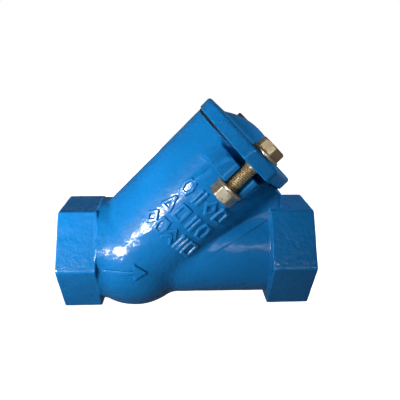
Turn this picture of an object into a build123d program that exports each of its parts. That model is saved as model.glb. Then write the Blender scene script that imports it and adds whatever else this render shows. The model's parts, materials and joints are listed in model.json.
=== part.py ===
from build123d import *
from math import acos, atan2, cos, hypot, radians, sin, sqrt, tan
import os

# Y-pattern ball check valve, DN40, with G 1 1/2 threaded hexagon ends.
# Origin: on the pipe axis, in the plane of the inlet end face.
# +X: along the pipe, with the flow.  +Z: up.  The branch rises at 45 degrees towards +X and +Z.
# Lengths along the branch are heights h above the point where its axis meets the pipe axis.

# ---------------------------------------------------------------- driving dimensions, mm
LENGTH = 150.0  # end face to end face
BRANCH_X = 43.0  # where the branch axis meets the pipe axis
BRANCH_TILT = 45.0  # degrees above the pipe axis

# threaded hexagon ends: flats at the top and bottom
HEX_ACROSS_FLATS = 60.5
INLET_COLLAR = 23.0  # length of each hexagon
OUTLET_COLLAR = 26.0
COLLAR_BEVEL = 1.2
THREAD_MINOR_R = 22.42  # G 1 1/2, minor diameter 44.845
THREAD_DEPTH = 16.5

# outside of the casting
BULGE_R = 34.6
NECK_R = 31.5
NECK_RISE = 1.7  # the neck's centre lies above the pipe axis
PIPE_R = 27.0
BRANCH_R = 33.3
WEB_WIDTH = 30.0  # rib in the acute corner between the branch and the outlet
WEB_REACH = 131.5  # its upright face, along X

# inside of the casting
BALL_R = 26.0
BALL_GAP = 0.3  # between the resting ball and the seat edge
SEAT_R = 18.2
CHAMBER_R = 28.5
OUTLET_R = 20.0

# cover joint
GASKET_BOTTOM = 89.6
GASKET_THICKNESS = 1.0
GASKET_FIT = 0.05
COVER_R = 34.3
COVER_THICKNESS = 8.3
DOME_BASE_R = 22.5
DOME_HEIGHT = 7.6
HOLLOW_BASE_R = 24.0
HOLLOW_HEIGHT = 10.0
SPIGOT_DEPTH = 2.5
SPIGOT_CLEARANCE = 0.4

# ears, forks and the two bolts, M8
BOLT_Y = 51.0
EAR_FRONT_WIDTH = 17.0
EAR_REACH = 60.2
BOLT_HOLE_R = 4.5
SLOT_R = 4.5
FORK_THICKNESS = 11.2
FORK_TOP_GAP = 3.7  # between the cover's underside and the fork
FORK_FRONT_WIDTH = 16.0
FORK_ROOT_WIDTH = 33.0
FORK_ROOT_Y = 29.5  # inside the branch wall
FORK_REACH = 54.5
FORK_FOOT_DROP = 12.0  # how far the fork's root tapers down the branch
FORK_FOOT_WIDTH = 25.0
FORK_FOOT_REACH = 42.0  # clear of the nut's washer
BOLT_R = 3.9
BOLT_LENGTH = 32.5  # its end lies just inside the nut
HEAD_HEIGHT = 5.3
NUT_HEIGHT = 6.5
NUT_BORE_R = 3.96
SPANNER_WIDTH = 13.0
FACE_RATIO = 0.95  # of the round face left by the chamfer, to the spanner width
CHAMFER_ANGLE = 30.0
HEAD_TURN = {"front": 29.0, "rear": 8.0}  # degrees, as each was left by the spanner
NUT_TURN = {"front": -12.0, "rear": 21.0}
WASHER_R = 8.0
WASHER_HOLE_R = 4.2
WASHER_THICKNESS = 1.6

# ball
CORE_R = 22.0

# raised flow arrow
ARROW_HEIGHT = 1.0
ARROW_SHAFT_WIDTH = 2.4
ARROW_HEAD_WIDTH = 10.6
ARROW_Z = -0.9
ARROW_TAIL_X = 26.2
ARROW_NECK_X = 44.4
ARROW_TIP_X = 51.8

# ---------------------------------------------------------------- derived sizes
INLET_COLLAR_END = INLET_COLLAR
OUTLET_COLLAR_START = LENGTH - OUTLET_COLLAR
HEX_CORNER_R = HEX_ACROSS_FLATS / sqrt(3)
GASKET_TOP = GASKET_BOTTOM + GASKET_THICKNESS
COVER_TOP = GASKET_TOP + COVER_THICKNESS
FORK_TOP = GASKET_TOP - FORK_TOP_GAP
FORK_BOTTOM = FORK_TOP - FORK_THICKNESS
HEAD_SEAT = COVER_TOP + WASHER_THICKNESS
NUT_SEAT = FORK_BOTTOM - WASHER_THICKNESS
SEAT_X = BRANCH_X - sqrt((BALL_R + BALL_GAP) ** 2 - SEAT_R**2)

# an ear's flanks run from its front corners to where they touch the cover's disc
corner_reach = hypot(EAR_FRONT_WIDTH / 2, EAR_REACH)
touch_angle = acos(COVER_R / corner_reach) + atan2(EAR_FRONT_WIDTH / 2, EAR_REACH)
EAR_ROOT_WIDTH = 2 * COVER_R * sin(touch_angle)
EAR_ROOT_Y = COVER_R * cos(touch_angle)

# branch frame: local x runs across the branch towards +X and -Z, local y is +Y, local z is up it
tilt = radians(BRANCH_TILT)
branch = Plane(
    origin=(BRANCH_X, 0, 0),
    x_dir=(sin(tilt), 0, -cos(tilt)),
    z_dir=(cos(tilt), 0, sin(tilt)),
)
pipe = Plane(origin=(0, 0, 0), x_dir=(0, 1, 0), z_dir=(1, 0, 0))


# ---------------------------------------------------------------- helpers
def rod(radius, low, high, frame=branch, across=0.0, along=0.0):
    """A cylinder on a frame's z axis, from height low to height high."""
    place = frame * Pos(across, along, (low + high) / 2)
    return place * Cylinder(radius, high - low)


def prism(points, low, high, frame=branch):
    """An upright block with the given outline in the frame's xy plane."""
    face = frame * Pos(0, 0, low) * make_face(Polyline(*points, close=True))
    return extrude(face, amount=high - low, dir=frame.z_dir)


def hexagon(across_flats, low, high, frame, along=0.0, turn=0.0):
    """A hexagonal prism.  At turn 0 two corners lie on the frame's x axis."""
    sketch = RegularPolygon(across_flats / sqrt(3), 6)
    face = frame * Pos(0, along, low) * Rot(0, 0, turn) * sketch
    return extrude(face, amount=high - low, dir=frame.z_dir)


def trapezium(root_width, front_width, root, front, side):
    """Outline of an ear that narrows outwards along side * Y."""
    return [
        (-root_width / 2, side * root),
        (-front_width / 2, side * front),
        (front_width / 2, side * front),
        (root_width / 2, side * root),
    ]


# ---------------------------------------------------------------- valve body
def collar(inner_x, outer_x):
    """One hexagonal end, with its corners bevelled at its inner end."""
    block = hexagon(HEX_ACROSS_FLATS, min(inner_x, outer_x), max(inner_x, outer_x), pipe)
    length = abs(outer_x - inner_x)
    outwards = (outer_x - inner_x) / length
    inner_end = Plane(origin=(inner_x, 0, 0), x_dir=(0, 1, 0), z_dir=(outwards, 0, 0))
    narrow_r = HEX_CORNER_R - COLLAR_BEVEL
    limit = Cone(narrow_r, narrow_r + length, length)
    return block & inner_end * Pos(0, 0, length / 2) * limit


def casting_outside():
    neck_frame = Plane(origin=(0, 0, NECK_RISE), x_dir=(0, 1, 0), z_dir=(1, 0, 0))
    shape = collar(INLET_COLLAR_END, 0) + collar(OUTLET_COLLAR_START, LENGTH)
    shape += Pos(BRANCH_X, 0, 0) * Sphere(BULGE_R)
    shape += rod(NECK_R, INLET_COLLAR_END - 1, BRANCH_X, neck_frame)
    shape += rod(PIPE_R, BRANCH_X, OUTLET_COLLAR_START + 1, pipe)
    shape += rod(BRANCH_R, 0, GASKET_BOTTOM)
    return shape + web()


def web():
    """The rib that fills the acute corner, from the branch's rim down to the outlet pipe."""
    rim_x = BRANCH_X + GASKET_BOTTOM * cos(tilt) + BRANCH_R * sin(tilt)
    rim_z = GASKET_BOTTOM * sin(tilt) - BRANCH_R * cos(tilt)
    outline = Polyline(
        (BRANCH_X, 0),
        (WEB_REACH, 0),
        (WEB_REACH, rim_z - (WEB_REACH - rim_x) / tan(tilt)),
        (rim_x, rim_z),
        close=True,
    )
    face = Plane.XZ * make_face(outline)
    return extrude(face, amount=WEB_WIDTH / 2, both=True)


def fork(side):
    """The slotted lug that a bolt swings or drops into."""
    points = trapezium(FORK_ROOT_WIDTH, FORK_FRONT_WIDTH, FORK_ROOT_Y, FORK_REACH, side)
    lug = prism(points, FORK_BOTTOM, FORK_TOP)
    slot = rod(SLOT_R, FORK_BOTTOM, FORK_TOP, along=side * BOLT_Y)
    mouth = trapezium(2 * SLOT_R, 2 * SLOT_R, BOLT_Y, EAR_REACH, side)
    return lug - slot - prism(mouth, FORK_BOTTOM, FORK_TOP) + fork_foot(side)


def fork_foot(side):
    """The sloping root below a fork, which carries its load into the branch wall."""
    foot_bottom = FORK_BOTTOM - FORK_FOOT_DROP
    outline = Polyline(
        (side * FORK_ROOT_Y, foot_bottom),
        (side * BRANCH_R, foot_bottom),
        (side * FORK_FOOT_REACH, FORK_BOTTOM),
        (side * FORK_ROOT_Y, FORK_BOTTOM),
        close=True,
    )
    upright = Plane(origin=branch.origin, x_dir=(0, 1, 0), z_dir=branch.x_dir)
    face = upright * make_face(outline)
    return extrude(face, amount=FORK_FOOT_WIDTH / 2, both=True)


def flow_arrow():
    """The raised arrow on the front of the bulge, which points the way the flow goes."""
    shaft, head = ARROW_SHAFT_WIDTH / 2, ARROW_HEAD_WIDTH / 2
    outline = Polyline(
        (ARROW_TAIL_X, ARROW_Z - shaft),
        (ARROW_NECK_X, ARROW_Z - shaft),
        (ARROW_NECK_X, ARROW_Z - head),
        (ARROW_TIP_X, ARROW_Z),
        (ARROW_NECK_X, ARROW_Z + head),
        (ARROW_NECK_X, ARROW_Z + shaft),
        (ARROW_TAIL_X, ARROW_Z + shaft),
        close=True,
    )
    block = extrude(Plane.XZ * make_face(outline), amount=2 * BULGE_R)
    skin = Sphere(BULGE_R + ARROW_HEIGHT) - Sphere(BULGE_R - ARROW_HEIGHT)
    return block & Pos(BRANCH_X, 0, 0) * skin


def thread_bore(mouth_x, inwards):
    """The hole for a G 1 1/2 pipe, at its minor diameter."""
    end = Plane(origin=(mouth_x, 0, 0), x_dir=(0, 1, 0), z_dir=(inwards, 0, 0))
    return rod(THREAD_MINOR_R, 0, THREAD_DEPTH, end)


def passages():
    """Everything the water and the ball need: two mouths, the seat, the chamber and the outlet."""
    chamber = Pos(BRANCH_X, 0, 0) * Sphere(CHAMBER_R) + rod(CHAMBER_R, 0, GASKET_BOTTOM)
    behind_seat = Pos(SEAT_X - LENGTH / 2, 0, 0) * Box(LENGTH, LENGTH, LENGTH)
    seat = rod(SEAT_R, THREAD_DEPTH, SEAT_X, pipe)
    outlet = rod(OUTLET_R, BRANCH_X, LENGTH - THREAD_DEPTH, pipe)
    mouths = thread_bore(0, 1) + thread_bore(LENGTH, -1)
    return (chamber - behind_seat) + seat + outlet + mouths


def valve_body():
    shape = casting_outside() + flow_arrow()
    for side in (-1, 1):
        shape += fork(side)
    return shape - passages()


# ---------------------------------------------------------------- cover and gasket
def cap(base_r, height, base_h):
    """A solid spherical cap that stands on the plane at height base_h."""
    radius = (base_r**2 + height**2) / (2 * height)
    ball = branch * Pos(0, 0, base_h + height - radius) * Sphere(radius)
    return ball & rod(base_r, base_h, base_h + height)


def cover():
    shape = rod(COVER_R, GASKET_TOP, COVER_TOP)
    for side in (-1, 1):
        shape += prism(
            trapezium(EAR_ROOT_WIDTH, EAR_FRONT_WIDTH, EAR_ROOT_Y, EAR_REACH, side),
            GASKET_TOP,
            COVER_TOP,
        )
    shape += cap(DOME_BASE_R, DOME_HEIGHT, COVER_TOP)
    shape += rod(CHAMBER_R - SPIGOT_CLEARANCE, GASKET_TOP - SPIGOT_DEPTH, GASKET_TOP)
    shape -= rod(HOLLOW_BASE_R, GASKET_TOP - SPIGOT_DEPTH, GASKET_TOP)
    shape -= cap(HOLLOW_BASE_R, HOLLOW_HEIGHT, GASKET_TOP)
    for side in (-1, 1):
        shape -= rod(BOLT_HOLE_R, GASKET_TOP, COVER_TOP, along=side * BOLT_Y)
    return shape


def cover_gasket():
    ring = rod(BRANCH_R, GASKET_BOTTOM, GASKET_TOP)
    return ring - rod(CHAMBER_R + GASKET_FIT, GASKET_BOTTOM, GASKET_TOP)


# ---------------------------------------------------------------- ball
def ball_core():
    return Pos(BRANCH_X, 0, 0) * Sphere(CORE_R)


def ball_coating():
    return Pos(BRANCH_X, 0, 0) * (Sphere(BALL_R) - Sphere(CORE_R))


# ---------------------------------------------------------------- fasteners
def chamfer_limit(low, high, side, both_ends=False):
    """The turned envelope that rounds off a hexagon's corners at its free ends."""
    corner_r = SPANNER_WIDTH / sqrt(3)
    face_r = SPANNER_WIDTH / 2 * FACE_RATIO
    bevel = (corner_r - face_r) * tan(radians(CHAMFER_ANGLE))
    place = branch * Pos(0, side * BOLT_Y, 0)
    foot = low + bevel if both_ends else low
    limit = rod(corner_r, foot, high - bevel, along=side * BOLT_Y)
    limit += place * Pos(0, 0, high - bevel / 2) * Cone(corner_r, face_r, bevel)
    if both_ends:
        limit += place * Pos(0, 0, low + bevel / 2) * Cone(face_r, corner_r, bevel)
    return limit


def cover_bolt(side, turn):
    low, high = HEAD_SEAT, HEAD_SEAT + HEAD_HEIGHT
    head = hexagon(SPANNER_WIDTH, low, high, branch, along=side * BOLT_Y, turn=turn)
    head &= chamfer_limit(low, high, side)
    return head + rod(BOLT_R, HEAD_SEAT - BOLT_LENGTH, HEAD_SEAT, along=side * BOLT_Y)


def cover_nut(side, turn):
    low, high = NUT_SEAT - NUT_HEIGHT, NUT_SEAT
    nut = hexagon(SPANNER_WIDTH, low, high, branch, along=side * BOLT_Y, turn=turn)
    nut &= chamfer_limit(low, high, side, both_ends=True)
    return nut - rod(NUT_BORE_R, low, high, along=side * BOLT_Y)


def washer(side, bottom):
    disc = rod(WASHER_R, bottom, bottom + WASHER_THICKNESS, along=side * BOLT_Y)
    return disc - rod(WASHER_HOLE_R, bottom, bottom + WASHER_THICKNESS, along=side * BOLT_Y)


# ---------------------------------------------------------------- the assembly
parts = {
    "valve_body": valve_body(),
    "cover": cover(),
    "cover_gasket": cover_gasket(),
    "ball_core": ball_core(),
    "ball_coating": ball_coating(),
}
for name, side in (("front", -1), ("rear", 1)):
    parts[f"{name}_bolt"] = cover_bolt(side, HEAD_TURN[name])
    parts[f"{name}_nut"] = cover_nut(side, NUT_TURN[name])
    parts[f"{name}_head_washer"] = washer(side, COVER_TOP)
    parts[f"{name}_nut_washer"] = washer(side, NUT_SEAT)

os.makedirs("parts", exist_ok=True)
for name, shape in parts.items():
    export_step(shape, f"parts/{name}.step")
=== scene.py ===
import json
from math import acos, atan2, ceil, cos, hypot, pi, radians, sin, sqrt

import bpy
import numpy as np
from mathutils import Matrix, Vector


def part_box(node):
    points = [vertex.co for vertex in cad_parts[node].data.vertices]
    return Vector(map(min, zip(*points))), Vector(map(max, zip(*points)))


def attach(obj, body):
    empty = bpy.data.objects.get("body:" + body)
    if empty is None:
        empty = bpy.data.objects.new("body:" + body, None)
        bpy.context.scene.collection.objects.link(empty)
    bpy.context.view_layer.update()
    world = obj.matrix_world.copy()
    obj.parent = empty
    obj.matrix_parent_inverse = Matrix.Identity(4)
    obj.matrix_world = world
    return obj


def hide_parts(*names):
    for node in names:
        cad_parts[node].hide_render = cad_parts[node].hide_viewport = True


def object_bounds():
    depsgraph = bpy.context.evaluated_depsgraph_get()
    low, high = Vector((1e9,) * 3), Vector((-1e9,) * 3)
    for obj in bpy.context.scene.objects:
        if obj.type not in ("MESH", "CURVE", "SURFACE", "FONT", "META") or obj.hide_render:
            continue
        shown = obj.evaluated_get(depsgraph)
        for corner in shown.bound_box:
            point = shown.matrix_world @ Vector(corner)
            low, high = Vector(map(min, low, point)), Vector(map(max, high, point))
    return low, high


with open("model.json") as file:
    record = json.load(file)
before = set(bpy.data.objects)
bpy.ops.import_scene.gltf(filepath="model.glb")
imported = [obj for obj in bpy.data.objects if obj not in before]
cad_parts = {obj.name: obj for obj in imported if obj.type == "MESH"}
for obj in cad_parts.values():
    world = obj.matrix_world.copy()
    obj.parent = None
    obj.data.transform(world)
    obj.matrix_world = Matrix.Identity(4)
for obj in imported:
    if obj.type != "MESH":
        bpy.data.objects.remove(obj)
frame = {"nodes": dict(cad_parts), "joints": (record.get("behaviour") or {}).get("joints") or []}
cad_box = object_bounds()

# Y-pattern ball check valve.  The castings are rounded solids made from distance fields, so that
# every corner has its cast fillet; the fasteners and threads are turned profiles.
# Shapes are worked out in millimetres in the frame's own axes and scaled to metres at the end.

MM = 0.001
JOINTS = {joint["name"]: joint for joint in frame["joints"]}


def box_mm(node):
    low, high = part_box(node)
    return [value / MM for value in low], [value / MM for value in high]


# ---------------------------------------------------------------- sizes taken from the frame, mm
BODY_LOW, BODY_HIGH = box_mm("valve_body")
LENGTH = BODY_HIGH[0]
BULGE_R = -BODY_LOW[2]
NUT_AXIS = [value / MM for value in JOINTS["rear_nut_turn"]["pos_m"]]
BRANCH_X = NUT_AXIS[0]
BOLT_Y = NUT_AXIS[1]
BALL_R = (box_mm("ball_coating")[1][1] - box_mm("ball_coating")[0][1]) / 2
COVER_REACH = box_mm("cover")[1][1]
BRANCH_R = box_mm("cover_gasket")[1][1]
WASHER_R = box_mm("front_head_washer")[1][1] + BOLT_Y

# ---------------------------------------------------------------- sizes that follow the design, mm
HEX_ACROSS_FLATS = 60.5
INLET_COLLAR = 23.0
OUTLET_COLLAR = 26.0
THREAD_DEPTH = 16.5
THREAD_MAJOR_R = 23.9
THREAD_MINOR_R = 22.42
THREAD_PITCH = 2.309
NECK_R = 31.5
NECK_RISE = 1.7
NECK_TRIM = 2.2  # added to the hexagon that trims the neck
PIPE_R = 27.0
WEB_HALF_WIDTH = 15.0
WEB_REACH = 131.5
PAD_START = 84.0
PAD_TAPER = 30.0  # the length over which it reaches its full thickness
PAD_RISE = 5.0
PAD_FLARE = 3.0
PAD_THICKENING = 0.9
BALL_GAP = 0.3  # between the resting ball and the seat's edge
SEAT_R = 18.2
SEAT_X = BRANCH_X - sqrt((BALL_R + BALL_GAP) ** 2 - SEAT_R**2)
CHAMBER_R = 28.5
OUTLET_R = 20.0
GASKET_BOTTOM = 89.6
GASKET_TOP = 90.6
COVER_R = 34.3
COVER_TOP = 98.9
DOME_BASE_R = 22.5
DOME_HEIGHT = 7.6
HOLLOW_BASE_R = 24.0
HOLLOW_HEIGHT = 10.0
SPIGOT_R = 28.1
SPIGOT_BOTTOM = 88.1
EAR_FRONT_WIDTH = 17.0
FORK_TOP = 86.9
FORK_BOTTOM = 75.7
FORK_FRONT_WIDTH = 16.0
FORK_ROOT_WIDTH = 33.0
FORK_REACH = 54.5
FORK_ROOT_Y = 29.5
FOOT_HEIGHT = 13.0
FOOT_HALF_WIDTH = 12.0
FOOT_SLOPE = 0.7
SLOT_R = 4.5
BOLT_HOLE_R = 4.5
WASHER_THICKNESS = 1.6
WASHER_HOLE_R = 4.2
BOLT_R = 3.9
BOLT_PITCH = 1.25
BOLT_THREAD_DEPTH = 0.68
BOLT_LENGTH = 32.5  # its end lies just inside the nut
PLAIN_SHANK = 10.5
HEAD_HEIGHT = 5.3
NUT_HEIGHT = 6.5
NUT_BORE_R = 3.96
SPANNER_WIDTH = 13.0
FACE_RATIO = 0.94  # of the round face left by the chamfer, to the spanner width
CHAMFER_SLOPE = 0.577  # 30 degrees
CORNER_ROUNDING = 0.22
HEAD_SEAT = COVER_TOP + WASHER_THICKNESS
NUT_SEAT = FORK_BOTTOM - WASHER_THICKNESS

# An ear's flanks run from its front corners to where they touch the cover's disc.
CORNER_REACH = hypot(EAR_FRONT_WIDTH / 2, COVER_REACH)
TOUCH_ANGLE = acos(COVER_R / CORNER_REACH) + atan2(EAR_FRONT_WIDTH / 2, COVER_REACH)
EAR_ROOT_WIDTH = 2 * COVER_R * sin(TOUCH_ANGLE)
EAR_ROOT_Y = COVER_R * cos(TOUCH_ANGLE)

# ---------------------------------------------------------------- branch directions
UP_BRANCH = Vector(JOINTS["cover_lift"]["axis"]).normalized()
ACROSS_BRANCH = Vector((UP_BRANCH.z, 0, -UP_BRANCH.x))
BRANCH_FOOT = Vector((BRANCH_X, 0, 0))


def branch_coordinates(x, z):
    """Height up the branch and offset across it, of points given by x and z."""
    height = (x - BRANCH_X) * UP_BRANCH.x + z * UP_BRANCH.z
    offset = (x - BRANCH_X) * ACROSS_BRANCH.x + z * ACROSS_BRANCH.z
    return height, offset


def turn_to_frame(vectors):
    """Directions given as (offset, y, height), in the frame's axes."""
    basis = np.array([ACROSS_BRANCH, (0, 1, 0), UP_BRANCH])
    return vectors @ basis


def to_frame(points):
    """Points given as (offset, y, height), in the frame's axes."""
    return turn_to_frame(np.asarray(points, float)) + np.array(BRANCH_FOOT)


# ---------------------------------------------------------------- distance fields
def smooth_min(a, b, blend):
    """Union of two fields, with a fillet of about the blend length."""
    h = np.maximum(blend - np.abs(a - b), 0) / blend
    return np.minimum(a, b) - h * h * blend / 4


def smooth_max(a, b, blend):
    """Intersection of two fields, with its edge rounded."""
    return -smooth_min(-a, -b, blend)


def slab(t, low, high):
    """Everything between two parallel planes."""
    return np.abs(t - (low + high) / 2) - (high - low) / 2


def hexagon(y, z, across_flats, blend):
    """A hexagon with flats at the top and bottom and rounded corners."""
    wide = np.abs(y) * cos(radians(30))
    sides = smooth_max(wide + z * 0.5, wide - z * 0.5, blend)
    return smooth_max(sides, np.abs(z), blend) - across_flats / 2


def collar(x, y, z, low, high):
    """The hexagon at one end of the valve."""
    edge_blend = 1.0
    return smooth_max(hexagon(y, z, HEX_ACROSS_FLATS, edge_blend), slab(x, low, high), edge_blend)


def tapered(offset, reach, root_width, front_width, root, front, corner):
    """An ear's outline: it narrows from root to front, and its front corners are round."""
    slope = (root_width - front_width) / 2 / (front - root)
    lean = 1 / sqrt(1 + slope * slope)
    flank = (np.abs(offset) - root_width / 2 + slope * (reach - root)) * lean
    return smooth_max(flank, reach - front, corner)


def fork(offset, y, height):
    """The slotted lug with its sloping foot, on both sides of the branch."""
    reach = np.abs(y)
    outline = tapered(offset, reach, FORK_ROOT_WIDTH, FORK_FRONT_WIDTH, FORK_ROOT_Y, FORK_REACH, 1.2)
    lug = smooth_max(outline, slab(height, FORK_BOTTOM, FORK_TOP), 1.2)
    foot_rise = (height - FORK_BOTTOM + FOOT_HEIGHT) * FOOT_SLOPE
    foot = smooth_max(np.abs(offset) - FOOT_HALF_WIDTH, reach - BRANCH_R + 1 - foot_rise, 3.0)
    foot = smooth_max(foot, slab(height, FORK_BOTTOM - FOOT_HEIGHT, FORK_TOP - 2), 1.0)
    inward = np.minimum(reach - BOLT_Y, 0)
    slot = np.sqrt(offset**2 + inward**2) - SLOT_R
    return smooth_max(smooth_min(lug, foot, 3.0), -slot, 0.7)


def neck(x, y, z):
    """Between the inlet hexagon and the bulge: round, and trimmed by a slightly larger hexagon."""
    overlap = 0.6
    tube = np.sqrt(y**2 + (z - NECK_RISE) ** 2) - NECK_R
    trim = hexagon(y, z - NECK_RISE / 2, HEX_ACROSS_FLATS + NECK_TRIM, 3.0)
    return smooth_max(smooth_max(tube, trim, 1.5), slab(x, INLET_COLLAR - overlap, BRANCH_X), 0.8)


def outlet_pad(x, z, radial, across):
    """The thickening on top of the outlet pipe, from the branch to the outlet hexagon."""
    along = np.clip((x - PAD_START) / PAD_TAPER, 0, 1)
    beside_branch = across - BRANCH_R - PAD_RISE - PAD_FLARE * along
    pad = smooth_max(beside_branch, radial - PIPE_R - PAD_THICKENING * along, 0.5)
    return np.maximum(np.maximum(pad, -z), slab(x, PAD_START, LENGTH - OUTLET_COLLAR))


def web(x, y, z, offset):
    """The rib that fills the acute corner between the branch and the outlet pipe."""
    rib = smooth_max(np.abs(y) - WEB_HALF_WIDTH, x - WEB_REACH, 4.0)
    return np.maximum(np.maximum(rib, PIPE_R / 2 - z), -offset)


def passages(x, radial, across, height, centre_distance):
    """The mouths, the seat, the ball's chamber and the outlet."""
    chamber = np.minimum(centre_distance, np.maximum(across, -height + CHAMBER_R)) - CHAMBER_R
    hollow = np.maximum(chamber, SEAT_X - x)
    hollow = np.minimum(hollow, np.maximum(radial - SEAT_R, x - BRANCH_X))
    hollow = np.minimum(hollow, np.maximum(radial - OUTLET_R, BRANCH_X - x))
    mouth_r = THREAD_MAJOR_R + 0.3  # behind the sleeve that carries the thread
    mouth_chamfer = 1.2
    from_end = LENGTH / 2 - np.abs(x - LENGTH / 2)
    hollow = np.minimum(hollow, np.maximum(radial - mouth_r, from_end - THREAD_DEPTH))
    return np.minimum(hollow, radial - mouth_r - mouth_chamfer + from_end)


def casting(x, y, z):
    """The valve body, without its raised marks.  The last number of each join is its fillet."""
    pipe_overlap = 4
    height, offset = branch_coordinates(x, z)
    radial = np.sqrt(y**2 + z**2)
    across = np.sqrt(offset**2 + y**2)
    centre_distance = np.sqrt((x - BRANCH_X) ** 2 + radial**2)
    stem = np.where(height > 0, across, centre_distance) - BRANCH_R
    pipe = np.maximum(radial - PIPE_R, slab(x, BRANCH_X, LENGTH - OUTLET_COLLAR + pipe_overlap))
    shape = smooth_min(centre_distance - BULGE_R, stem, 1.0)
    shape = smooth_min(shape, neck(x, y, z), 1.0)
    shape = smooth_min(shape, pipe, 2.6)
    shape = smooth_min(shape, outlet_pad(x, z, radial, across), 0.4)
    shape = smooth_min(shape, web(x, y, z, offset), 6.0)
    shape = smooth_max(shape, height - GASKET_BOTTOM, 0.8)
    shape = smooth_min(shape, fork(offset, y, height), 4.0)
    shape = smooth_min(shape, collar(x, y, z, 0, INLET_COLLAR), 1.2)
    shape = smooth_min(shape, collar(x, y, z, LENGTH - OUTLET_COLLAR, LENGTH), 1.4)
    return smooth_max(shape, -passages(x, radial, across, height, centre_distance), 0.6)


def cap_radius(base_r, rise):
    """The radius of the sphere whose cap has this base and rise."""
    return (base_r**2 + rise**2) / (2 * rise)


def cover_casting(offset, y, height):
    """The domed cover with its two ears, in branch coordinates."""
    reach = np.abs(y)
    across = np.sqrt(offset**2 + y**2)
    ear = tapered(offset, reach, EAR_ROOT_WIDTH, EAR_FRONT_WIDTH, EAR_ROOT_Y, COVER_REACH, 1.6)
    outline = np.minimum(across - COVER_R, np.maximum(ear, EAR_ROOT_Y - reach))
    shape = smooth_max(outline, height - COVER_TOP, 2.2)
    shape = smooth_max(shape, GASKET_TOP - height, 0.9)
    dome_r = cap_radius(DOME_BASE_R, DOME_HEIGHT)
    dome = np.sqrt(across**2 + (height - COVER_TOP - DOME_HEIGHT + dome_r) ** 2) - dome_r
    shape = smooth_min(shape, np.maximum(dome, GASKET_TOP + 2 - height), 1.4)
    spigot = smooth_max(across - SPIGOT_R, slab(height, SPIGOT_BOTTOM, GASKET_TOP + 1), 0.8)
    shape = np.minimum(shape, spigot)
    hollow_r = cap_radius(HOLLOW_BASE_R, HOLLOW_HEIGHT)
    hollow_centre = GASKET_TOP + HOLLOW_HEIGHT - hollow_r
    hollow = np.sqrt(across**2 + (height - hollow_centre) ** 2) - hollow_r
    hollow = np.maximum(hollow, across - HOLLOW_BASE_R)
    below = np.maximum(across - HOLLOW_BASE_R, height - GASKET_TOP)
    shape = smooth_max(shape, -np.minimum(hollow, below), 0.6)
    hole = np.sqrt(offset**2 + (reach - BOLT_Y) ** 2) - BOLT_HOLE_R
    return smooth_max(shape, -hole, 0.8)


# ---------------------------------------------------------------- raised marks and arrow
STROKE = 1.8
MARK_HEIGHT = 8.2
MARK_WIDTH = 5.8
MARK_RELIEF = 1.15
# Each row: its height up the branch, the angles of its first and last figures, and the figures.
MARK_ROWS = (
    (57.5, -20, 24, ("hexagon", "bars", "diamond", "square")),
    (44.5, -21, 23, ("triangle", "square", "bars", "hexagon")),
    (31.4, -24, 27, ("diamond", "hexagon", "chevrons", "bars", "square")),
)
# Strokes of each figure, in half widths and half heights.
OUTLINES = {
    "hexagon": [[(-1, 0), (-0.6, 1), (0.6, 1), (1, 0), (0.6, -1), (-0.6, -1), (-1, 0)]],
    "diamond": [[(-1, 0), (0, 1), (1, 0), (0, -1), (-1, 0)]],
    "square": [[(-0.9, -1), (-0.9, 1), (0.9, 1), (0.9, -1), (-0.9, -1)]],
    "triangle": [[(-1, -1), (0, 1), (1, -1), (-1, -1)]],
    "bars": [[(-0.45, -1), (-0.45, 1)], [(0.55, -1), (0.55, 1)]],
    "chevrons": [[(-1, -0.1), (0, 0.9), (1, -0.1)], [(-1, -1), (0, 0), (1, -1)]],
}
ARROW_Z = -0.6
ARROW_TAIL, ARROW_NECK, ARROW_TIP = 26.2, 44.4, 51.8
ARROW_SHAFT_WIDTH = 2.4
ARROW_HEAD_WIDTH = 10.6
ARROW_RELIEF = 1.5


def segment_distance(u, v, a, b):
    """Distance in a plane from points (u, v) to the straight stroke from a to b."""
    du, dv = b[0] - a[0], b[1] - a[1]
    t = np.clip(((u - a[0]) * du + (v - a[1]) * dv) / (du * du + dv * dv), 0, 1)
    return np.hypot(u - a[0] - t * du, v - a[1] - t * dv)


def raised(outside, relief):
    """Height of a raised figure with sloping sides, from the distance outside its outline."""
    slope_width = 0.6
    t = np.clip((slope_width / 2 - outside) / slope_width, 0, 1)
    return relief * t * t * (3 - 2 * t)


def mark_relief(x, y, z):
    """Rows of plain geometric figures round the front of the branch."""
    height, offset = branch_coordinates(x, z)
    arc = np.arctan2(offset, -y) * BRANCH_R
    nearest = np.full(x.shape, 99.0)
    for row_height, start, end, figures in MARK_ROWS:
        for index, figure in enumerate(figures):
            angle = start + (end - start) * index / (len(figures) - 1)
            u = (arc - radians(angle) * BRANCH_R) / (MARK_WIDTH / 2)
            v = (height - row_height) / (MARK_HEIGHT / 2)
            near = (np.abs(u) < 1.6) & (np.abs(v) < 1.6)
            if not near.any():
                continue
            un, vn = u[near] * MARK_WIDTH / 2, v[near] * MARK_HEIGHT / 2
            best = nearest[near]
            for line in OUTLINES[figure]:
                points = [(a * MARK_WIDTH / 2, b * MARK_HEIGHT / 2) for a, b in line]
                for a, b in zip(points, points[1:]):
                    best = np.minimum(best, segment_distance(un, vn, a, b))
            nearest[near] = best
    return raised(nearest - STROKE / 2, MARK_RELIEF)


def arrow_relief(x, z):
    """The flow arrow on the front of the bulge: a shaft and a solid head."""
    aside = np.abs(z - ARROW_Z)
    shaft = np.maximum(aside - ARROW_SHAFT_WIDTH / 2, slab(x, ARROW_TAIL, ARROW_NECK + 1))
    head_length, half = ARROW_TIP - ARROW_NECK, ARROW_HEAD_WIDTH / 2
    flank = (aside * head_length - (ARROW_TIP - x) * half) / hypot(head_length, half)
    head = np.maximum(flank, ARROW_NECK - x)
    return raised(np.minimum(shaft, head), ARROW_RELIEF)


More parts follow.
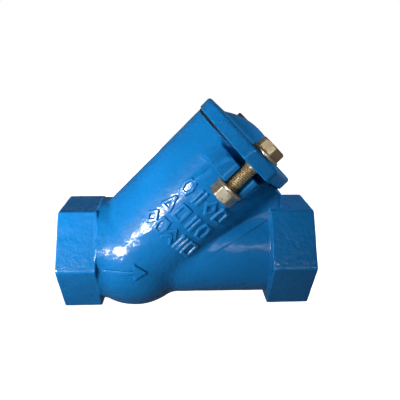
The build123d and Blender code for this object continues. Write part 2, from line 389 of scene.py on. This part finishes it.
# ---------------------------------------------------------------- uneven cast skin
SKIN_INSET = 0.1  # keeps the uneven skin inside the CAD model's box
BODY_WAVINESS = 0.06
COVER_WAVINESS = 0.05


def between(t, low, high):
    return (t > low) & (t < high)


def waviness(x, y, z, size, seed):
    """A gentle unevenness of unit height, as a sum of sine waves in random directions."""
    rng = np.random.default_rng(seed)
    total = np.zeros(np.broadcast(x, y, z).shape)
    for _ in range(9):
        direction = rng.normal(size=3)
        direction /= np.linalg.norm(direction)
        wave = 2 * pi / (size * rng.uniform(0.7, 1.6))
        phase = rng.uniform(0, 2 * pi)
        total += np.sin((x * direction[0] + y * direction[1] + z * direction[2]) * wave + phase)
    return total / 5


def finished_casting(x, y, z):
    """The body with its marks, its arrow and the slight waviness of a sand casting."""
    field = casting(x, y, z)
    height = branch_coordinates(x, z)[0]
    front = y < -15
    on_branch = front & between(height, 24, 66)
    on_bulge = front & between(x, ARROW_TAIL - 4, ARROW_TIP + 4) & (np.abs(z - ARROW_Z) < 9)
    relief = np.zeros(x.shape)
    if on_branch.any():
        relief[on_branch] = mark_relief(x[on_branch], y[on_branch], z[on_branch])
    if on_bulge.any():
        relief[on_bulge] += arrow_relief(x[on_bulge], z[on_bulge])
    return field + SKIN_INSET - relief - BODY_WAVINESS * waviness(x, y, z, 11.0, 4)


def finished_cover(offset, y, height):
    """The cover with the same slight waviness."""
    unevenness = COVER_WAVINESS * waviness(offset, y, height, 9.0, 8)
    return cover_casting(offset, y, height) + SKIN_INSET - unevenness


# ---------------------------------------------------------------- from a field to a mesh
CORNERS = [(i, j, k) for i in (0, 1) for j in (0, 1) for k in (0, 1)]


def surface_points(field, cells, low, step):
    """For each cell, the mean of the points where the zero level cuts its edges."""
    values = {corner: field[tuple((cells + corner).T)] for corner in CORNERS}
    total = np.zeros((len(cells), 3))
    crossings = np.zeros(len(cells))
    for axis in range(3):
        for corner in CORNERS:
            if corner[axis]:
                continue
            other = tuple(c + (i == axis) for i, c in enumerate(corner))
            a, b = values[corner], values[other]
            cut = (a < 0) != (b < 0)
            t = np.where(cut, a / np.where(cut, a - b, 1), 0)
            point = np.array(corner, float)[None, :].repeat(len(cells), 0)
            point[:, axis] += t
            total += point * cut[:, None]
            crossings += cut
    return low + (cells + total / crossings[:, None]) * step


def surface_faces(inside, number):
    """A quad round each grid edge that crosses the surface, joining its four numbered cells."""
    faces = []
    for axis in range(3):
        u, v = (axis + 1) % 3, (axis + 2) % 3
        here = [slice(1, -1)] * 3
        here[axis] = slice(0, -1)
        there = list(here)
        there[axis] = slice(1, None)
        a, b = inside[tuple(here)], inside[tuple(there)]
        for flip in (False, True):
            edges = np.argwhere((a & ~b) if flip else (~a & b))
            edges[:, u] += 1
            edges[:, v] += 1
            ring = []
            for du, dv in ((0, 0), (1, 0), (1, 1), (0, 1)):
                cell = edges.copy()
                cell[:, u] -= du
                cell[:, v] -= dv
                ring.append(number[tuple(cell.T)])
            quads = np.stack(ring, 1)
            faces.append(quads if flip else quads[:, ::-1])
    return np.concatenate(faces)


def surface_nets(field, low, step):
    """Quads round the zero level of a sampled field.  Returns points and faces."""
    inside = field < 0
    shape = tuple(n - 1 for n in field.shape)
    count = np.zeros(shape, np.int8)
    for corner in CORNERS:
        count += inside[tuple(slice(c, c + n) for c, n in zip(corner, shape))]
    cells = np.argwhere((count > 0) & (count < len(CORNERS)))
    number = np.full(shape, -1, np.int64)
    number[tuple(cells.T)] = np.arange(len(cells))
    return surface_points(field, cells, low, step), surface_faces(inside, number)


def gradient(field, points, reach=0.04):
    """The field's slope at each point, by central differences."""
    slopes = []
    for axis in range(3):
        nudge = np.zeros(3)
        nudge[axis] = reach
        ahead = field(*(points + nudge).T)
        behind = field(*(points - nudge).T)
        slopes.append((ahead - behind) / (2 * reach))
    return np.stack(slopes, 1)


def settle(field, points, rounds=4):
    """Moves points onto the field's zero level and returns them with their normals."""
    for _ in range(rounds):
        slope = gradient(field, points)
        steep = np.maximum((slope**2).sum(1), 0.3)
        move = field(*points.T)[:, None] * slope / steep[:, None]
        points = points - np.clip(move, -0.4, 0.4)
    slope = gradient(field, points)
    return points, slope / np.maximum(np.linalg.norm(slope, axis=1), 1e-9)[:, None]


def split_faces(points, faces, chosen, cuts):
    """Divides the chosen quads into cuts x cuts smaller ones, which share their edge points."""
    quads = faces[chosen]
    t = np.linspace(0, 1, cuts + 1)
    a, b, c, d = (points[quads[:, i]] for i in range(4))
    rows = []
    for v in t:
        left, right = a + (d - a) * v, b + (c - b) * v
        rows.append([left + (right - left) * u for u in t])
    grid = np.stack([np.stack(row, 1) for row in rows], 1)
    new_points = grid.reshape(-1, 3)
    size = (cuts + 1) ** 2
    new_faces = []
    for j in range(cuts):
        for i in range(cuts):
            first = j * (cuts + 1) + i
            new_faces.append([first, first + 1, first + cuts + 2, first + cuts + 1])
    base = np.arange(len(quads)) * size + len(points)
    blocks = (base[:, None, None] + np.array(new_faces)[None]).reshape(-1, 4)
    every_point = np.concatenate([points, new_points])
    every_face = np.concatenate([faces[~chosen], blocks])
    _, first, inverse = np.unique(
        np.round(every_point, 4), axis=0, return_index=True, return_inverse=True
    )
    return every_point[first], inverse.reshape(-1)[every_face]


def mesh_object(name, points, faces, normals=None):
    """A smooth mesh object in metres from points in millimetres."""
    used, inverse = np.unique(np.asarray(faces).reshape(-1), return_inverse=True)
    points = np.asarray(points)[used]
    faces = inverse.reshape(np.asarray(faces).shape)
    mesh = bpy.data.meshes.new(name)
    mesh.from_pydata((points * MM).tolist(), [], faces.tolist())
    mesh.polygons.foreach_set("use_smooth", [True] * len(mesh.polygons))
    if normals is not None:
        mesh.normals_split_custom_set_from_vertices(normals[used].tolist())
    mesh.update()
    piece = bpy.data.objects.new(name, mesh)
    bpy.context.scene.collection.objects.link(piece)
    return piece


def solid_from_field(field, fine_field, low, high, step, refine=None):
    """Meshes a field's inside, with finer quads where refine says so."""
    low = np.array(low, float)
    counts = [ceil((b - a) / step) + 1 for a, b in zip(low, high)]
    axes = [low[i] + step * np.arange(n) for i, n in enumerate(counts)]
    x, y, z = axes[0][:, None, None], axes[1][None, :, None], axes[2][None, None, :]
    sampled = np.broadcast_to(field(x, y, z), counts)
    points, faces = surface_nets(sampled, low, step)
    if refine is not None:
        centres = points[faces].mean(1)
        points, faces = split_faces(points, faces, refine(*centres.T), 3)
    points, normals = settle(fine_field, points)
    return points, faces, normals


def near_marks(x, y, z):
    """Where the raised marks and the arrow need finer quads."""
    height, offset = branch_coordinates(x, z)
    across = np.sqrt(offset**2 + y**2)
    marks = (y < -20) & between(height, 26, 63) & between(offset, -19, 21)
    marks &= between(across, BRANCH_R - 1.2, BRANCH_R + 1.4)
    arrow = (y < -28) & between(x, 24.5, 55) & (np.abs(z - ARROW_Z) < 8)
    return marks | arrow


def make_valve_body():
    step = 0.72
    low = (-1.6, -57.0, -37.0)
    high = (152.0, 57.5, 94.0)
    points, faces, normals = solid_from_field(casting, finished_casting, low, high, step, near_marks)
    return mesh_object("valve_casting", points, faces, normals)


def make_cover():
    step = 0.6
    low = (-COVER_R - 1.5, -COVER_REACH - 1.5, SPIGOT_BOTTOM - 1.4)
    high = (COVER_R + 1.5, COVER_REACH + 1.5, COVER_TOP + DOME_HEIGHT + 1.5)
    points, faces, normals = solid_from_field(cover_casting, finished_cover, low, high, step)
    return mesh_object("domed_cover", to_frame(points), faces, turn_to_frame(normals))


# ---------------------------------------------------------------- turned pieces
def ring(radius, height, angles):
    """Circles of points about the z axis."""
    return np.stack([radius * np.cos(angles), radius * np.sin(angles), height + 0 * angles], -1)


def strip_faces(rows, around, closed=False):
    """Quads between a grid's rows, which each wrap round.  Closed joins the last to the first."""
    index = np.arange(rows * around).reshape(rows, around)
    if closed:
        index = np.concatenate([index, index[:1]])
    after = np.roll(index, -1, 1)
    corners = (index[:-1], after[:-1], after[1:], index[1:])
    return np.stack([corner.ravel() for corner in corners], 1)


def turned(profile, around, radius_at=None):
    """A closed ring surface: a closed loop of (radius, height) points turned about the z axis."""
    profile = np.array(profile, float)
    angles = np.arange(around) * 2 * pi / around
    radius = profile[:, :1] * np.ones(around)
    height = profile[:, 1:] * np.ones(around)
    if radius_at is not None:
        radius = radius_at(radius, angles[None, :])
    points = ring(radius, height, angles).reshape(-1, 3)
    return points, strip_faces(len(profile), around, closed=True)


def hexagon_radius(angle, across_flats, turn):
    """Distance from a hexagon's centre to its edge, with slightly rounded corners."""
    sector = np.mod(angle - turn, pi / 3) - pi / 6
    straight = across_flats / 2 / np.cos(sector)
    return np.minimum(straight, across_flats / sqrt(3) - CORNER_ROUNDING)


def loop_points(corners, spacing):
    """Points along a closed outline, no further apart than spacing."""
    points = []
    for start, end in zip(corners, corners[1:] + corners[:1]):
        length = hypot(end[0] - start[0], end[1] - start[1])
        pieces = max(1, ceil(length / spacing))
        for i in range(pieces):
            t = i / pieces
            points.append((start[0] + (end[0] - start[0]) * t, start[1] + (end[1] - start[1]) * t))
    return points


def hexagon_blank(low, high, bore, turn, chamfer_low):
    """A nut or bolt head: a hexagon with its corners turned off at the top, or at both ends."""
    spacing, around = 0.28, 144
    corner = SPANNER_WIDTH / sqrt(3)
    face = SPANNER_WIDTH / 2 * FACE_RATIO
    bevel = (corner - face) * CHAMFER_SLOPE
    outline = [(bore, low)]
    outline += [(face, low), (corner, low + bevel)] if chamfer_low else [(corner, low)]
    outline += [(corner, high - bevel), (face, high), (bore, high)]

    def shape(radius, angle):
        flat = hexagon_radius(angle, SPANNER_WIDTH, turn)
        return np.where(radius > bore + 0.01, np.minimum(radius, flat), radius)

    return turned(loop_points(outline, spacing), around, shape)


def screw_surface(full_depth, pitch, low, high, around):
    """Heights, angles and depths of a rounded right-hand thread whose ends run out smoothly."""
    rows_per_turn = 24
    rows = int((high - low) / pitch * rows_per_turn) + 1
    height = np.linspace(low, high, rows)[:, None]
    angle = (np.arange(around) * 2 * pi / around)[None, :]
    turn = height / pitch - angle / (2 * pi)
    fade = np.clip(np.minimum(height - low, high - height) / pitch, 0, 1)
    depth = full_depth * (1 + np.cos(2 * pi * turn)) / 2
    return height, angle, depth * fade


def bolt_points():
    """A bolt's partly threaded shank, on the z axis with branch heights."""
    around, tip_r, tip_length = 48, 0.01, 0.9
    bottom, plain = HEAD_SEAT - BOLT_LENGTH, HEAD_SEAT - PLAIN_SHANK
    end_r = BOLT_R - BOLT_THREAD_DEPTH - 0.1
    height, angle, depth = screw_surface(BOLT_THREAD_DEPTH, BOLT_PITCH, bottom, plain, around)
    taper = np.clip((height - bottom) / tip_length, 0, 1)
    radius = np.minimum(BOLT_R - depth, end_r + (BOLT_R - end_r) * taper)
    tip = ring(tip_r, bottom, angle)
    collar_ring = ring(BOLT_R, plain + 0.3, angle)
    top = ring(BOLT_R, HEAD_SEAT + 0.5, angle)
    grid = np.concatenate([tip, ring(radius, height, angle), collar_ring, top])
    return grid.reshape(-1, 3), strip_faces(len(grid), around)


def place_on_bolt(points, side):
    """From the z axis to one of the two bolts' axes."""
    moved = np.array(points, float)
    moved[:, 1] += side * BOLT_Y
    return to_frame(moved)


def joined(parts):
    """Several (points, faces) pairs as one."""
    points, faces, count = [], [], 0
    for part_points, part_faces in parts:
        points.append(part_points)
        faces.append(part_faces + count)
        count += len(part_points)
    return np.concatenate(points), np.concatenate(faces)


def sharpen(piece, degrees_limit=32):
    """Marks creases so that turned faces shade flat up to their edges."""
    bpy.context.view_layer.objects.active = piece
    piece.select_set(True)
    bpy.ops.object.shade_smooth_by_angle(angle=radians(degrees_limit))
    piece.select_set(False)


HEAD_TURNS = {"front": radians(29), "rear": radians(8)}
NUT_TURNS = {"front": radians(-12), "rear": radians(21)}
SIDES = {"front": -1, "rear": 1}


def make_bolt(name, side):
    centre_r = 0.02
    head = hexagon_blank(HEAD_SEAT, HEAD_SEAT + HEAD_HEIGHT, centre_r, HEAD_TURNS[name], False)
    points, faces = joined([bolt_points(), head])
    piece = mesh_object(f"{name}_bolt_threaded", place_on_bolt(points, side), faces)
    sharpen(piece)
    return piece


def make_nut(name, side):
    bottom = NUT_SEAT - NUT_HEIGHT
    points, faces = hexagon_blank(bottom, NUT_SEAT, NUT_BORE_R, NUT_TURNS[name], True)
    piece = mesh_object(f"{name}_nut_chamfered", place_on_bolt(points, side), faces)
    sharpen(piece)
    return piece


def make_washer(name, side, bottom):
    """A flat washer with all its edges slightly bevelled."""
    top, edge = bottom + WASHER_THICKNESS, 0.25
    outline = [
        (WASHER_HOLE_R, bottom + edge),
        (WASHER_HOLE_R + edge, bottom),
        (WASHER_R - edge, bottom),
        (WASHER_R, bottom + edge),
        (WASHER_R, top - edge),
        (WASHER_R - edge, top),
        (WASHER_HOLE_R + edge, top),
        (WASHER_HOLE_R, top - edge),
    ]
    points, faces = turned(outline, 72)
    piece = mesh_object(name, place_on_bolt(points, side), faces)
    sharpen(piece, 50)
    return piece


def make_mouth_thread(name, start, direction):
    """The pipe thread inside an end: a sleeve with a helical inner face, set in the casting."""
    around, low, high = 120, 1.0, THREAD_DEPTH - 0.2
    outer_r = THREAD_MAJOR_R + 0.8
    full_depth = THREAD_MAJOR_R - THREAD_MINOR_R
    height, angle, depth = screw_surface(full_depth, THREAD_PITCH, low, high, around)
    inner = ring(THREAD_MINOR_R + depth, height, angle)
    upright = np.concatenate([ring(outer_r, low, angle), inner, ring(outer_r, high, angle)])
    lying = upright[..., [2, 0, 1]]
    points = lying.reshape(-1, 3)
    points[:, 0] = start + direction * points[:, 0]
    faces = strip_faces(len(lying), around, closed=True)
    if direction > 0:
        faces = faces[:, ::-1]
    piece = mesh_object(name, points, faces)
    sharpen(piece, 40)
    return piece


# ---------------------------------------------------------------- materials
class Shader:
    """A Principled material with short calls for its procedural inputs."""

    def __init__(self, name):
        self.material = bpy.data.materials.new(name)
        self.material.use_nodes = True
        self.nodes = self.material.node_tree.nodes
        self.links = self.material.node_tree.links
        self.surface = self.nodes["Principled BSDF"]
        self.place = self.nodes.new("ShaderNodeTexCoord").outputs["Object"]

    def set(self, **values):
        for key, value in values.items():
            self.surface.inputs[key.replace("_", " ")].default_value = value

    def noise(self, size, detail=3.0, roughness=0.55, distortion=0.0):
        """Noise whose features are about size metres across."""
        node = self.nodes.new("ShaderNodeTexNoise")
        node.inputs["Scale"].default_value = 1 / size
        node.inputs["Detail"].default_value = detail
        node.inputs["Roughness"].default_value = roughness
        node.inputs["Distortion"].default_value = distortion
        self.links.new(self.place, node.inputs["Vector"])
        return node.outputs["Fac"]

    def spread(self, value, low, high, out_low=0.0, out_high=1.0):
        node = self.nodes.new("ShaderNodeMapRange")
        settings = (("From Min", low), ("From Max", high), ("To Min", out_low), ("To Max", out_high))
        for key, number in settings:
            node.inputs[key].default_value = number
        self.links.new(value, node.inputs["Value"])
        return node.outputs["Result"]

    def mix(self, amount, first, second):
        node = self.nodes.new("ShaderNodeMix")
        node.data_type = "RGBA"
        self.links.new(amount, node.inputs["Factor"])
        for socket, value in ((node.inputs["A"], first), (node.inputs["B"], second)):
            if isinstance(value, tuple):
                socket.default_value = (*value, 1.0)
            else:
                self.links.new(value, socket)
        return node.outputs["Result"]

    def edges(self, low, high):
        """1 on convex outer edges, 0 on faces and in corners."""
        node = self.nodes.new("ShaderNodeNewGeometry")
        return self.spread(node.outputs["Pointiness"], low, high)

    def bump(self, value, strength, distance, under=None):
        node = self.nodes.new("ShaderNodeBump")
        node.inputs["Strength"].default_value = strength
        node.inputs["Distance"].default_value = distance
        self.links.new(value, node.inputs["Height"])
        if under is not None:
            self.links.new(under, node.inputs["Normal"])
        return node.outputs["Normal"]

    def link(self, value, key):
        self.links.new(value, self.surface.inputs[key])


def epoxy_paint(name):
    """Thick glossy blue epoxy over a sand casting, with a painted highlight of lighter blue on its
    convex edges.
    """
    shader = Shader(name)
    shader.set(Coat_Weight=0.6, Coat_Roughness=0.05, Coat_IOR=1.5, IOR=1.45, Specular_IOR_Level=0.2)
    patches = shader.spread(shader.noise(0.03, 4.0), 0.35, 0.7)
    colour = shader.mix(patches, (0.003, 0.116, 0.325), (0.0045, 0.134, 0.37))
    # Convex edges get a lighter blue: partly thinner paint there, partly a painted edge highlight.
    thin_paint_and_edge_highlight = shader.edges(0.515, 0.56)
    colour = shader.mix(thin_paint_and_edge_highlight, colour, (0.008, 0.17, 0.45))
    shader.link(colour, "Base Color")
    shader.link(shader.spread(shader.noise(0.006, 5.0), 0.3, 0.75, 0.2, 0.42), "Roughness")
    sand = shader.bump(shader.noise(0.0042, 3.0, 0.62), 0.5, 0.0009)
    peel = shader.bump(shader.noise(0.0014, 2.0), 0.14, 0.0003, sand)
    shader.link(peel, "Normal")
    shader.links.new(peel, shader.surface.inputs["Coat Normal"])
    return shader.material


def yellow_zinc(name, base, tint, smoothest, roughest):
    """Passivated zinc plating: pale gold with soft patches of brown and grey."""
    shader = Shader(name)
    shader.set(Metallic=0.85, IOR=1.6, Specular_IOR_Level=0.6)
    patches = shader.spread(shader.noise(0.006, 2.0, 0.5), 0.3, 0.75)
    shader.link(shader.mix(patches, base, tint), "Base Color")
    shader.link(shader.spread(shader.noise(0.002, 3.0), 0.3, 0.7, smoothest, roughest), "Roughness")
    shader.link(shader.bump(shader.noise(0.0009, 2.0), 0.08, 0.0001), "Normal")
    return shader.material


def bare_iron(name):
    """Machined cast iron in the threads, with a film of oil and some paint haze."""
    shader = Shader(name)
    shader.set(Metallic=0.9)
    patches = shader.spread(shader.noise(0.004, 5.0), 0.35, 0.7)
    shader.link(shader.mix(patches, (0.2, 0.2, 0.2), (0.34, 0.33, 0.32)), "Base Color")
    shader.link(shader.spread(shader.noise(0.001, 4.0), 0.3, 0.7, 0.32, 0.55), "Roughness")
    shader.link(shader.bump(shader.noise(0.0007, 3.0), 0.2, 0.0001), "Normal")
    return shader.material


def black_rubber(name, shade, gloss_low, gloss_high):
    """Moulded nitrile rubber with a light bloom."""
    shader = Shader(name)
    bloom = shader.spread(shader.noise(0.008, 4.0, 0.6), 0.45, 0.75)
    pale = tuple(value * 1.8 for value in shade)
    shader.link(shader.mix(bloom, shade, pale), "Base Color")
    shader.link(shader.spread(shader.noise(0.003, 4.0), 0.3, 0.7, gloss_low, gloss_high), "Roughness")
    shader.link(shader.bump(shader.noise(0.0007, 3.0), 0.15, 0.0001), "Normal")
    return shader.material


def cast_aluminium(name):
    shader = Shader(name)
    shader.set(Metallic=1.0)
    patches = shader.spread(shader.noise(0.005, 4.0), 0.35, 0.7)
    shader.link(shader.mix(patches, (0.55, 0.55, 0.56), (0.68, 0.68, 0.68)), "Base Color")
    shader.link(shader.spread(shader.noise(0.002, 4.0), 0.3, 0.7, 0.4, 0.6), "Roughness")
    shader.link(shader.bump(shader.noise(0.001, 3.0), 0.25, 0.0002), "Normal")
    return shader.material


def floor_material():
    shader = Shader("studio_floor")
    shader.link(shader.mix(shader.noise(0.4), (0.55, 0.55, 0.55), (0.57, 0.57, 0.57)), "Base Color")
    shader.link(shader.spread(shader.noise(0.1), 0.3, 0.7, 0.7, 0.8), "Roughness")
    shader.set(Specular_IOR_Level=0.1, Emission_Color=(1, 1, 1, 1), Emission_Strength=1.0)
    return shader.material


def paint(piece, material):
    piece.data.materials.clear()
    piece.data.materials.append(material)


# ---------------------------------------------------------------- the object
def dress(piece, body, material, slot, *nodes):
    """Gives a new piece its material and its body, and hides the CAD nodes it stands for. The slot
    argument is not used.
    """
    paint(piece, material)
    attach(piece, body)
    if nodes:
        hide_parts(*nodes)


def build_object():
    blue = epoxy_paint("blue_epoxy")
    cover_blue = epoxy_paint("blue_epoxy_cover")
    bolt_zinc = yellow_zinc("yellow_zinc_bolt", (0.6, 0.46, 0.26), (0.74, 0.62, 0.42), 0.4, 0.52)
    nut_zinc = yellow_zinc("yellow_zinc_nut", (0.78, 0.71, 0.58), (0.62, 0.53, 0.36), 0.24, 0.36)
    washer_zinc = yellow_zinc("yellow_zinc_washer", (0.86, 0.78, 0.64), (0.7, 0.6, 0.44), 0.24, 0.36)
    iron = bare_iron("bare_iron")
    dress(make_valve_body(), "body", blue, "painted_body", "valve_body")
    dress(make_mouth_thread("inlet_thread_turns", 0, 1), "body", iron, None)
    dress(make_mouth_thread("outlet_thread_turns", LENGTH, -1), "body", iron, None)
    dress(make_cover(), "cover", cover_blue, "painted_cover", "cover")
    for name, side in SIDES.items():
        dress(make_bolt(name, side), "cover", bolt_zinc, "zinc_bolt", f"{name}_bolt")
        dress(make_nut(name, side), f"{name}_nut_spin", nut_zinc, "zinc_nut", f"{name}_nut")
        head_washer = make_washer(f"{name}_upper_washer", side, COVER_TOP)
        dress(head_washer, "cover", washer_zinc, "zinc_washer", f"{name}_head_washer")
        nut_washer = make_washer(f"{name}_lower_washer", side, NUT_SEAT)
        dress(nut_washer, f"{name}_washer_stack", washer_zinc, "zinc_washer", f"{name}_nut_washer")
    paint(frame["nodes"]["cover_gasket"], black_rubber("gasket_rubber", (0.012, 0.012, 0.013), 0.5, 0.7))
    paint(frame["nodes"]["ball_coating"], black_rubber("ball_rubber", (0.018, 0.018, 0.02), 0.35, 0.5))
    paint(frame["nodes"]["ball_core"], cast_aluminium("ball_aluminium"))


# ---------------------------------------------------------------- stage, light and camera
CAMERA_ELEVATION = radians(16.6)
CAMERA_AZIMUTH = radians(-2.4)
CAMERA_ROLL = radians(0.24)
CAMERA_DISTANCE = 0.3073
LENS_MM = 43.5
SENSOR_MM = 36.0
AIM_RIGHT, AIM_UP = 0.0083, 0.0305


def make_camera():
    level = cos(CAMERA_ELEVATION)
    back = Vector((sin(CAMERA_AZIMUTH) * level, -cos(CAMERA_AZIMUTH) * level, sin(CAMERA_ELEVATION)))
    right = Vector((0, 0, 1)).cross(back).normalized()
    up = back.cross(right)
    tilted_right = right * cos(CAMERA_ROLL) + up * sin(CAMERA_ROLL)
    tilted_up = up * cos(CAMERA_ROLL) - right * sin(CAMERA_ROLL)
    middle = Vector((LENGTH / 2 * MM, 0, 0))
    eye = middle + tilted_right * AIM_RIGHT + tilted_up * AIM_UP + back * CAMERA_DISTANCE
    data = bpy.data.cameras.new("camera")
    data.lens = LENS_MM
    data.sensor_width = SENSOR_MM
    data.clip_start = 0.01
    camera = bpy.data.objects.new("camera", data)
    turn = Matrix((tilted_right, tilted_up, back)).transposed()
    camera.matrix_world = Matrix.Translation(eye) @ turn.to_4x4()
    bpy.context.scene.collection.objects.link(camera)
    bpy.context.scene.camera = camera


def make_floor():
    """A wide pale sweep under the valve."""
    size, level = 3.0, cad_box[0][2]
    points = [(-size, -size, level), (size, -size, level), (size, size, level), (-size, size, level)]
    mesh = bpy.data.meshes.new("studio_floor")
    mesh.from_pydata(points, [], [(0, 1, 2, 3)])
    floor = bpy.data.objects.new("studio_floor", mesh)
    bpy.context.scene.collection.objects.link(floor)
    paint(floor, floor_material())
    floor.visible_diffuse = False
    floor.visible_glossy = False


def area_light(name, place, target, width, height, power, beam):
    """A softbox.  Its beam angle narrows it, as a grid on its front does."""
    data = bpy.data.lights.new(name, "AREA")
    data.shape = "RECTANGLE"
    data.size, data.size_y = width, height
    data.energy = power
    data.spread = radians(beam)
    light = bpy.data.objects.new(name, data)
    light.location = place
    light.rotation_euler = (Vector(target) - Vector(place)).to_track_quat("-Z", "Y").to_euler()
    bpy.context.scene.collection.objects.link(light)
    return light


def make_lights():
    """A key and a strip that draw the highlights, and three fills that only add soft light."""
    area_light(
        "key", place=(-0.17, -0.38, 0.1), target=(-0.01, 0, 0.03),
        width=0.07, height=0.035, power=0.18, beam=55.0,
    )
    area_light(
        "front_strip", place=(0.09, -0.43, 0.18), target=(0.08, 0, 0.0),
        width=0.36, height=0.02, power=0.26, beam=180.0,
    )
    left_fill = area_light(
        "left_fill", place=(-0.17, -0.2, 0.09), target=(0.0, 0, 0.09),
        width=0.1, height=0.1, power=0.25, beam=58.0,
    )
    right_fill = area_light(
        "right_fill", place=(0.58, 0.22, 0.2), target=(0.09, 0, 0.09),
        width=0.2, height=0.2, power=0.7, beam=60.0,
    )
    back_fill = area_light(
        "back_fill", place=(0.0, 0.5, 0.1), target=(0.07, 0, 0.03),
        width=0.3, height=0.3, power=1.6, beam=180.0,
    )
    for light in (left_fill, right_fill, back_fill):
        light.visible_glossy = False


def make_world():
    """A white backdrop; the room that lights the valve is dimmer, and darkest overhead."""
    world = bpy.data.worlds.new("studio")
    bpy.context.scene.world = world
    world.use_nodes = True
    nodes, links = world.node_tree.nodes, world.node_tree.links
    place = nodes.new("ShaderNodeTexCoord")
    split = nodes.new("ShaderNodeSeparateXYZ")
    links.new(place.outputs["Generated"], split.inputs["Vector"])
    ramp = nodes.new("ShaderNodeMapRange")
    settings = (("From Min", -0.3), ("From Max", 0.6), ("To Min", 0.07), ("To Max", 0.03))
    for key, number in settings:
        ramp.inputs[key].default_value = number
    links.new(split.outputs["Z"], ramp.inputs["Value"])
    path = nodes.new("ShaderNodeLightPath")
    choose = nodes.new("ShaderNodeMix")
    links.new(path.outputs["Is Camera Ray"], choose.inputs["Factor"])
    links.new(ramp.outputs["Result"], choose.inputs["A"])
    choose.inputs["B"].default_value = 1.0
    links.new(choose.outputs["Result"], nodes["Background"].inputs["Strength"])
    nodes["Background"].inputs["Color"].default_value = (1, 1, 1, 1)


make_camera()
build_object()
make_floor()
make_lights()
make_world()
bpy.context.scene.view_settings.view_transform = "Standard"
